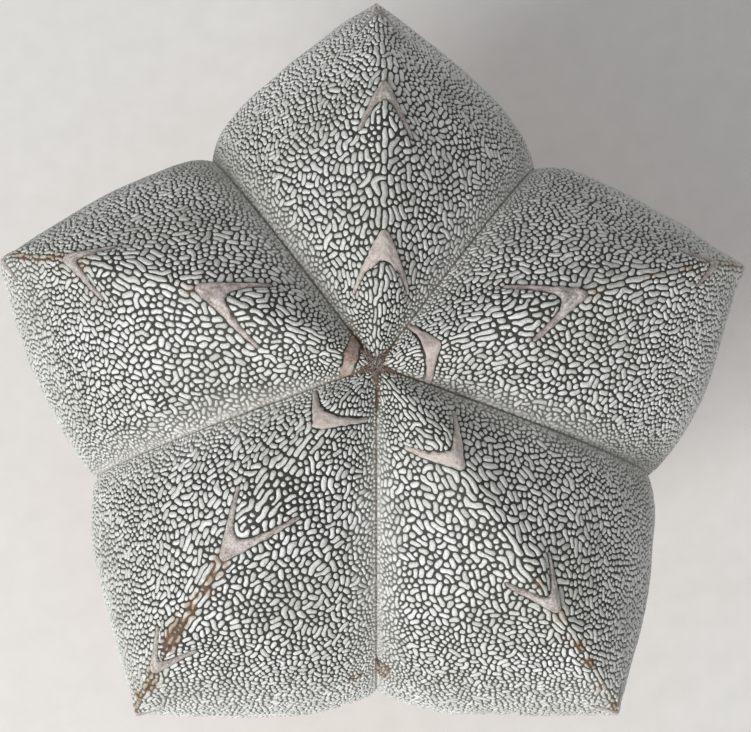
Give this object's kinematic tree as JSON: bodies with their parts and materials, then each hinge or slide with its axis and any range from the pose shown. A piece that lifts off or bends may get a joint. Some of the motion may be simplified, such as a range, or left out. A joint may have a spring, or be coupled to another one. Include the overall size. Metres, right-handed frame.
{
  "type": "potted bishop's cap cactus",
  "caption": "Sharp-ribbed, star-shaped bishop's cap cactus covered in fine white flecks, growing in a plain tapered clay pot with potting mix and a dressing of loose grit.",
  "frame": {"origin": "centre of the pot's flat foot, on the surface it stands on", "axes": "+Z up along the pot's axis; +Y towards the first rib; +X to the right of it, seen from above with +Y up"},
  "size_m": [0.0903, 0.0869, 0.1149],
  "materials": {
    "cactus_skin": "matte",
    "wool_flecks": "matte",
    "areole_felt": "matte",
    "terracotta": "matte",
    "potting_mix": "matte",
    "grit_grey": "matte",
    "grit_buff": "matte"
  },
  "bodies": {
    "root": {"cactus_body": "cactus_skin", "clay_pot": "terracotta", "potting_mix": "potting_mix", "grit_stone_01": "grit_grey", "grit_stone_02": "grit_buff", "grit_stone_03": "grit_grey", "grit_stone_04": "grit_buff", "grit_stone_05": "grit_grey", "grit_stone_06": "grit_buff", "grit_stone_07": "grit_grey", "grit_stone_08": "grit_buff", "grit_stone_09": "grit_grey", "grit_stone_10": "grit_buff", "grit_stone_11": "grit_grey", "grit_stone_12": "grit_buff", "grit_stone_13": "grit_grey", "grit_stone_14": "grit_buff", "grit_stone_15": "grit_grey", "grit_stone_16": "grit_buff", "grit_stone_17": "grit_grey", "grit_stone_18": "grit_buff", "grit_stone_19": "grit_grey", "grit_stone_20": "grit_buff", "grit_stone_21": "grit_grey", "grit_stone_22": "grit_buff", "grit_stone_23": "grit_grey", "grit_stone_24": "grit_buff", "grit_stone_25": "grit_grey", "grit_stone_26": "grit_buff", "grit_stone_27": "grit_grey", "grit_stone_28": "grit_buff", "grit_stone_29": "grit_grey", "grit_stone_30": "grit_buff", "grit_stone_31": "grit_grey", "grit_stone_32": "grit_buff", "grit_stone_33": "grit_grey", "grit_stone_34": "grit_buff", "grit_stone_35": "grit_grey", "grit_stone_36": "grit_buff", "grit_stone_37": "grit_grey"}
  },
  "joints": []
}
